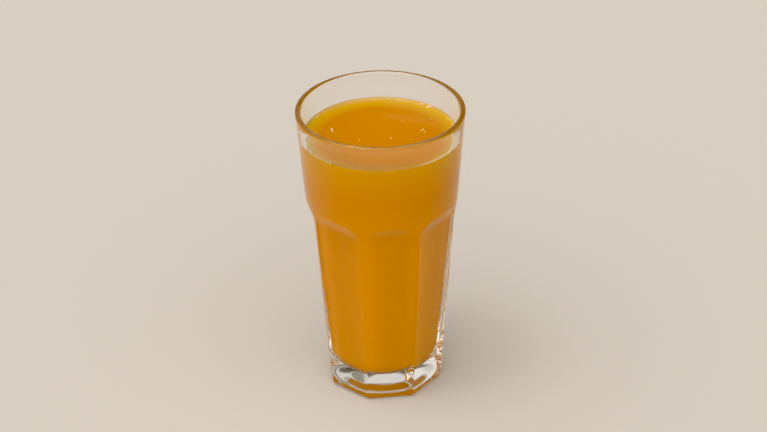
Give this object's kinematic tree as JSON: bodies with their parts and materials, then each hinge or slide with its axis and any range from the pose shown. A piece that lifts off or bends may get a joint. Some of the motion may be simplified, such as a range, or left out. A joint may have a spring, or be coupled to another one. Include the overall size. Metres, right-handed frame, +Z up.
{
  "type": "glass of mandarin juice",
  "caption": "Tall clear pressed glass tumbler with a round rim and flat cut sides on a thick base, filled with cloudy mandarin juice.",
  "frame": {"origin": "middle of the underside, at the height of the flat ring that the glass stands on", "axes": "+Z up the axis of the glass towards the rim, -Y out of one of the flat cuts"},
  "size_m": [0.083, 0.083, 0.153],
  "materials": {
    "clear_glass": "clear colourless pressed glass, smooth and glossy",
    "mandarin_juice": "cloudy orange-yellow juice with a wet, glossy surface"
  },
  "bodies": {
    "root": {"glass": "clear_glass", "juice": "mandarin_juice"}
  },
  "joints": []
}
